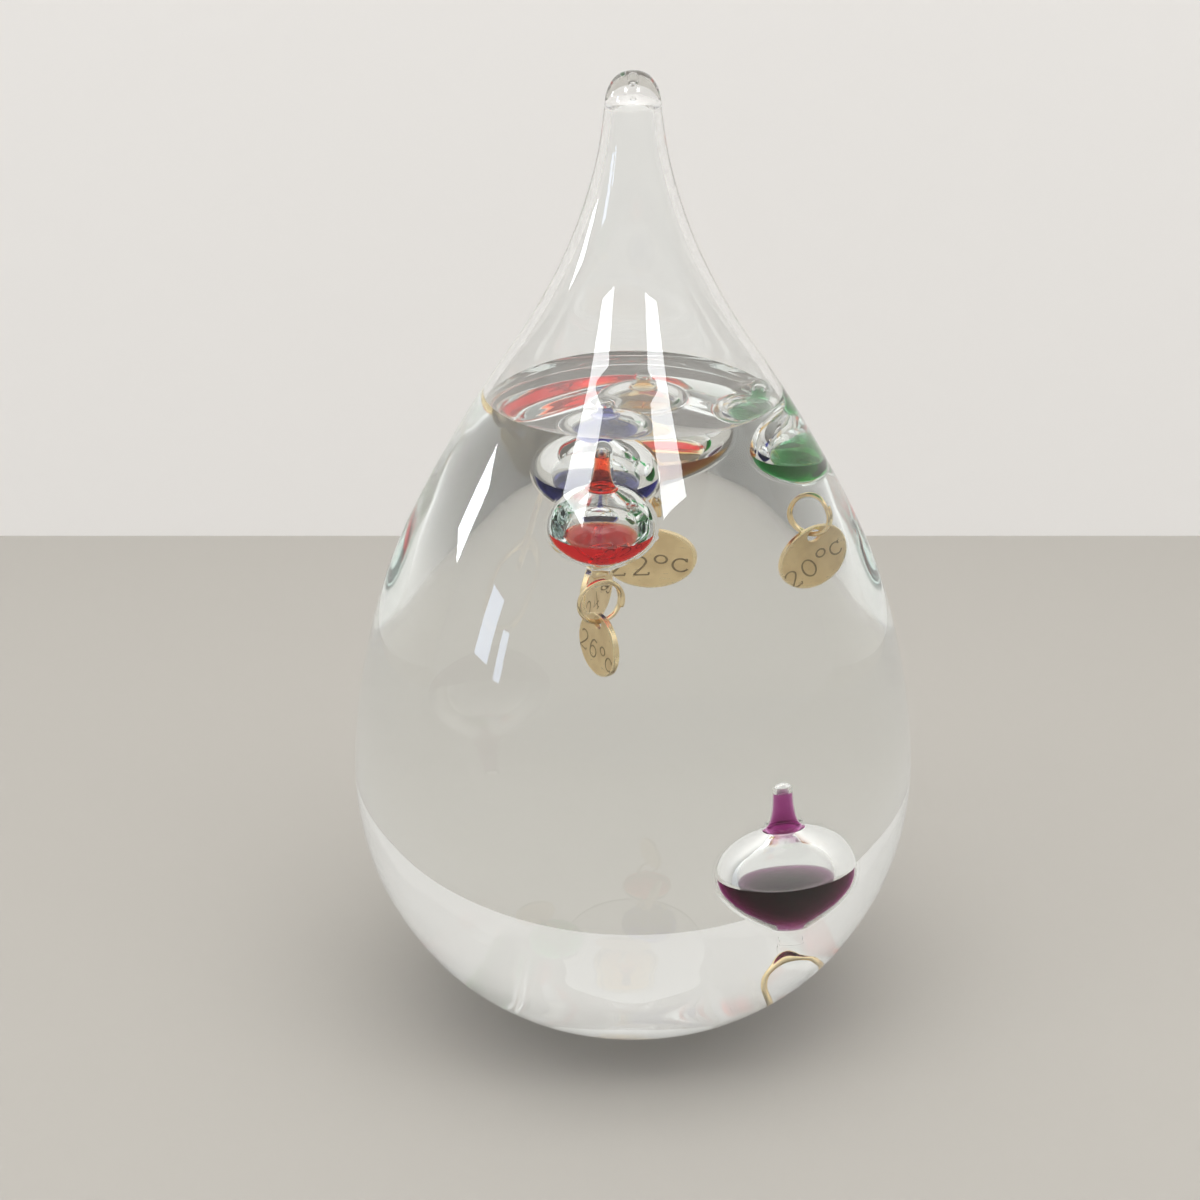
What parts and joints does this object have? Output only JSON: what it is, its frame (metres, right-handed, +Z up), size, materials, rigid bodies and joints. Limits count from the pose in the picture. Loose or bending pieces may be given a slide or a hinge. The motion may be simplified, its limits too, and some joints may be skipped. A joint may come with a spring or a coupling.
{
  "type": "galileo thermometer",
  "caption": "Teardrop glass Galileo thermometer: sealed clear filling with dyed glass floats that rise and sink, each with a temperature tag on a ring.",
  "frame": {"origin": "centre of the flat foot, on the surface it stands on", "axes": "+Z up along the vessel's axis of revolution; +X to the right and -Y towards the viewer in the stored rest pose"},
  "size_m": [0.0948, 0.0948, 0.1616],
  "materials": {
    "vessel_glass": "clear blown glass, polished by the flame",
    "float_glass": "thin clear blown glass",
    "clear_filling": "clear colourless liquid",
    "gilt_wire": "bright drawn wire",
    "stamped_brass": "satin, stamped",
    "dye_purple": "clear purple dyed liquid",
    "dye_green": "clear green dyed liquid",
    "dye_amber": "clear amber dyed liquid",
    "dye_blue": "clear blue dyed liquid",
    "dye_red": "clear red dyed liquid"
  },
  "bodies": {
    "vessel": {"glass_vessel": "vessel_glass", "fill_tube_seal": "vessel_glass", "clear_liquid": "clear_filling"},
    "float_18": {"float_18_bulb": "float_glass", "float_18_neck_seal": "float_glass", "float_18_dye": "dye_purple", "float_18_neck_dye": "dye_purple"},
    "float_18_ring": {"float_18_split_ring": "gilt_wire"},
    "float_18_tag_plate": {"float_18_tag": "stamped_brass"},
    "float_20": {"float_20_bulb": "float_glass", "float_20_neck_seal": "float_glass", "float_20_dye": "dye_green", "float_20_neck_dye": "dye_green"},
    "float_20_ring": {"float_20_split_ring": "gilt_wire"},
    "float_20_tag_plate": {"float_20_tag": "stamped_brass"},
    "float_22": {"float_22_bulb": "float_glass", "float_22_neck_seal": "float_glass", "float_22_dye": "dye_amber", "float_22_neck_dye": "dye_amber"},
    "float_22_ring": {"float_22_split_ring": "gilt_wire"},
    "float_22_tag_plate": {"float_22_tag": "stamped_brass"},
    "float_24": {"float_24_bulb": "float_glass", "float_24_neck_seal": "float_glass", "float_24_dye": "dye_blue", "float_24_neck_dye": "dye_blue"},
    "float_24_ring": {"float_24_split_ring": "gilt_wire"},
    "float_24_tag_plate": {"float_24_tag": "stamped_brass"},
    "float_26": {"float_26_bulb": "float_glass", "float_26_neck_seal": "float_glass", "float_26_dye": "dye_red", "float_26_neck_dye": "dye_red"},
    "float_26_ring": {"float_26_split_ring": "gilt_wire"},
    "float_26_tag_plate": {"float_26_tag": "stamped_brass"}
  },
  "joints": [
    {"name": "float_18_rise", "type": "slide", "parent": "vessel", "child": "float_18", "axis": [0, 0, 1], "range_m": [0, 0.0115], "deforming": ["clear_liquid"]},
    {"name": "float_18_ring_swing", "type": "hinge", "parent": "float_18", "child": "float_18_ring", "pos_m": [0.0168, 0.00299, 0.01937], "axis": [0.9063, 0.4226, 0], "range_deg": [-20, 20]},
    {"name": "float_18_tag_swing", "type": "hinge", "parent": "float_18_ring", "child": "float_18_tag_plate", "pos_m": [0.0168, 0.00299, 0.01278], "axis": [0.9063, 0.4226, 0], "range_deg": [-25, 25]},
    {"name": "float_20_rise", "type": "slide", "parent": "vessel", "child": "float_20", "axis": [0, 0, 1], "range_m": [-0.0115, 0], "stiffness_N_per_m": 0.05, "springref_m": 1},
    {"name": "float_20_ring_swing", "type": "hinge", "parent": "float_20", "child": "float_20_ring", "pos_m": [0.02091, 0.00451, 0.08681], "axis": [0.9659, -0.2588, 0], "range_deg": [-25, 25]},
    {"name": "float_20_tag_swing", "type": "hinge", "parent": "float_20_ring", "child": "float_20_tag_plate", "pos_m": [0.02091, 0.00451, 0.08022], "axis": [0.6428, -0.766, 0], "range_deg": [-30, 30]},
    {"name": "float_22_rise", "type": "slide", "parent": "vessel", "child": "float_22", "axis": [0, 0, 1], "range_m": [-0.055, 0], "stiffness_N_per_m": 0.05, "springref_m": 1},
    {"name": "float_22_ring_swing", "type": "hinge", "parent": "float_22", "child": "float_22_ring", "pos_m": [0.00173, 0.01305, 0.08406], "axis": [0.1045, 0.9945, 0], "range_deg": [-25, 25]},
    {"name": "float_22_tag_swing", "type": "hinge", "parent": "float_22_ring", "child": "float_22_tag_plate", "pos_m": [0.00173, 0.01305, 0.07746], "axis": [0.1045, 0.9945, 0], "range_deg": [-30, 30]},
    {"name": "float_24_rise", "type": "slide", "parent": "vessel", "child": "float_24", "axis": [0, 0, 1], "range_m": [-0.055, 0], "stiffness_N_per_m": 0.05, "springref_m": 1},
    {"name": "float_24_ring_swing", "type": "hinge", "parent": "float_24", "child": "float_24_ring", "pos_m": [-0.00447, -0.00286, 0.08555], "axis": [0.9272, -0.3746, 0], "range_deg": [-12, 12]},
    {"name": "float_24_tag_swing", "type": "hinge", "parent": "float_24_ring", "child": "float_24_tag_plate", "pos_m": [-0.00447, -0.00286, 0.07896], "axis": [0.9272, -0.3746, 0], "range_deg": [-15, 15]},
    {"name": "float_26_rise", "type": "slide", "parent": "vessel", "child": "float_26", "axis": [0, 0, 1], "range_m": [-0.055, 0], "stiffness_N_per_m": 0.05, "springref_m": 1},
    {"name": "float_26_ring_swing", "type": "hinge", "parent": "float_26", "child": "float_26_ring", "pos_m": [-0.00447, -0.02005, 0.08434], "axis": [0.8829, 0.4695, 0], "range_deg": [-12, 12]},
    {"name": "float_26_tag_swing", "type": "hinge", "parent": "float_26_ring", "child": "float_26_tag_plate", "pos_m": [-0.00447, -0.02005, 0.07775], "axis": [0.8829, 0.4695, 0], "range_deg": [-15, 15]}
  ]
}
